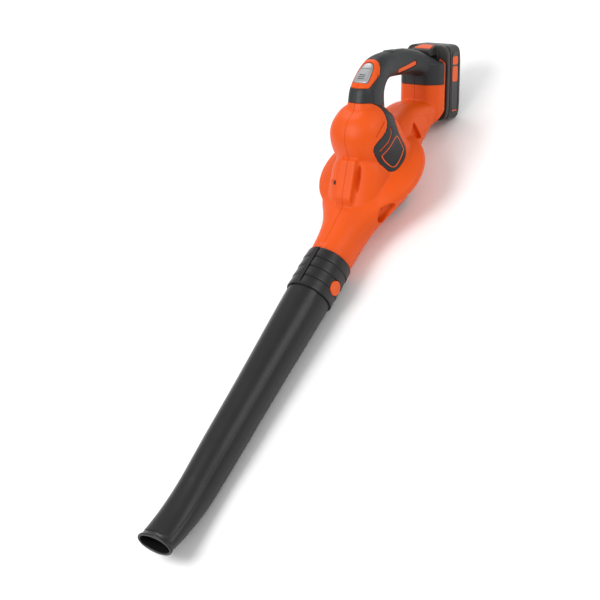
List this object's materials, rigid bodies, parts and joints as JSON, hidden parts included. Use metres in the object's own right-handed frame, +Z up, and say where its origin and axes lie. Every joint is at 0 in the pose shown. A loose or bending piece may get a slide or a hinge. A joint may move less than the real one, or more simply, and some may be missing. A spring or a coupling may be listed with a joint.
{
  "type": "leaf blower",
  "caption": "Cordless handheld leaf blower: orange clamshell with a looped grip, ringed collar, long black tube with a flattened nozzle and a slide-on battery.",
  "frame": {"origin": "bottom centre of the whole tool's box as it lies on the battery's lower edge and the tube", "axes": "+X to the rear (battery), -X along the tube to the nozzle, +Y the tool's right side, +Z up"},
  "size_m": [0.869, 0.1622, 0.1911],
  "materials": {
    "orange_shell": "satin moulded",
    "soft_grip": "matt overmoulded",
    "tube_black": "satin moulded",
    "button_silver": "silver satin",
    "slide_black": "matt moulded",
    "orange_button": "satin moulded",
    "screw_steel": "zinc plated",
    "spring_steel": "drawn wire",
    "intake_black": "matt moulded",
    "inlet_grey": "matt moulded",
    "scroll_grey": "matt moulded",
    "impeller_black": "satin moulded",
    "deck_grey": "matt moulded",
    "motor_steel": "plated",
    "cap_plastic": "matt moulded",
    "magnet_grey": "ferrite",
    "armature_copper": "wound copper",
    "commutator_copper": "machined copper",
    "carbon": "pressed carbon",
    "bearing_bronze": "sintered bronze",
    "switch_black": "matt moulded",
    "board_green": "solder mask",
    "blade_brass": "stamped",
    "terminal_black": "matt moulded",
    "lead_red": "insulated wire",
    "lead_black": "insulated wire",
    "pack_charcoal": "satin moulded",
    "latch_orange": "satin moulded",
    "cell_wrap": "shrink-wrapped steel can",
    "label_blank": "blank film"
  },
  "bodies": {
    "tool": {"badge_panel_left": "soft_grip", "badge_panel_right": "soft_grip", "battery_lead_negative": "lead_black", "battery_lead_positive": "lead_red", "bearing_lower": "bearing_bronze", "bearing_upper": "bearing_bronze", "boost_spring": "spring_steel", "boost_switch": "switch_black", "carbon_brush_left": "carbon", "carbon_brush_right": "carbon", "fan_scroll": "scroll_grey", "grip_left": "soft_grip", "grip_right": "soft_grip", "housing_left": "orange_shell", "housing_right": "orange_shell", "inlet_ring": "inlet_grey", "intake_grille": "intake_black", "magnet_front": "magnet_grey", "magnet_rear": "magnet_grey", "motor_can": "motor_steel", "motor_deck": "deck_grey", "motor_end_cap": "cap_plastic", "motor_lead_negative": "lead_black", "motor_lead_positive": "lead_red", "motor_screw_left": "screw_steel", "motor_screw_right": "screw_steel", "power_switch": "switch_black", "screw_bulge": "screw_steel", "screw_handle": "screw_steel", "screw_leg": "screw_steel", "screw_neck_rib": "screw_steel", "screw_receiver": "screw_steel", "screw_strut": "screw_steel", "speed_board": "board_green", "terminal_blade_negative": "blade_brass", "terminal_blade_positive": "blade_brass", "terminal_block": "terminal_black", "tube_lock_spring": "spring_steel"},
    "tube": {"tube_collar": "tube_black", "blow_tube": "tube_black"},
    "tube_lock": {"tube_lock_button": "orange_button"},
    "rotor": {"motor_shaft": "motor_steel", "armature": "armature_copper", "commutator": "commutator_copper", "impeller": "impeller_black", "impeller_nut": "screw_steel"},
    "boost": {"boost_button": "button_silver"},
    "power": {"power_slide": "slide_black"},
    "pack": {"battery_tray": "pack_charcoal", "battery_cover": "pack_charcoal", "battery_board": "board_green", "battery_label_left": "label_blank", "battery_label_right": "label_blank", "battery_latch_spring": "spring_steel", "cell_1": "cell_wrap", "cell_2": "cell_wrap", "cell_3": "cell_wrap", "cell_4": "cell_wrap", "cell_5": "cell_wrap"},
    "pack_latch": {"battery_latch_button": "latch_orange"}
  },
  "joints": [
    {"name": "tube_slide", "type": "slide", "parent": "tool", "child": "tube", "axis": [-0.9994, 0, -0.0347], "range_m": [0, 0.07]},
    {"name": "tube_lock_press", "type": "slide", "parent": "tube", "child": "tube_lock", "axis": [0, 1, 0], "range_m": [0, 0.003], "stiffness_N_per_m": 600, "springref_m": -0.003},
    {"name": "fan_spin", "type": "hinge", "parent": "tool", "child": "rotor", "pos_m": [0.19174, 0, 0.04398], "axis": [-0.0347, 0, 0.9994], "continuous": true},
    {"name": "boost_press", "type": "slide", "parent": "tool", "child": "boost", "axis": [0.1303, 0, -0.9915], "range_m": [0, 0.003], "stiffness_N_per_m": 600, "springref_m": -0.003},
    {"name": "power_slide_move", "type": "slide", "parent": "tool", "child": "power", "axis": [0.777, 0, -0.6295], "range_m": [0, 0.006]},
    {"name": "battery_slide", "type": "slide", "parent": "tool", "child": "pack", "axis": [0.6295, 0, 0.777], "range_m": [0, 0.11]},
    {"name": "battery_latch_press", "type": "slide", "parent": "pack", "child": "pack_latch", "axis": [-0.6295, 0, -0.777], "range_m": [0, 0.002], "stiffness_N_per_m": 600, "springref_m": -0.003}
  ]
}
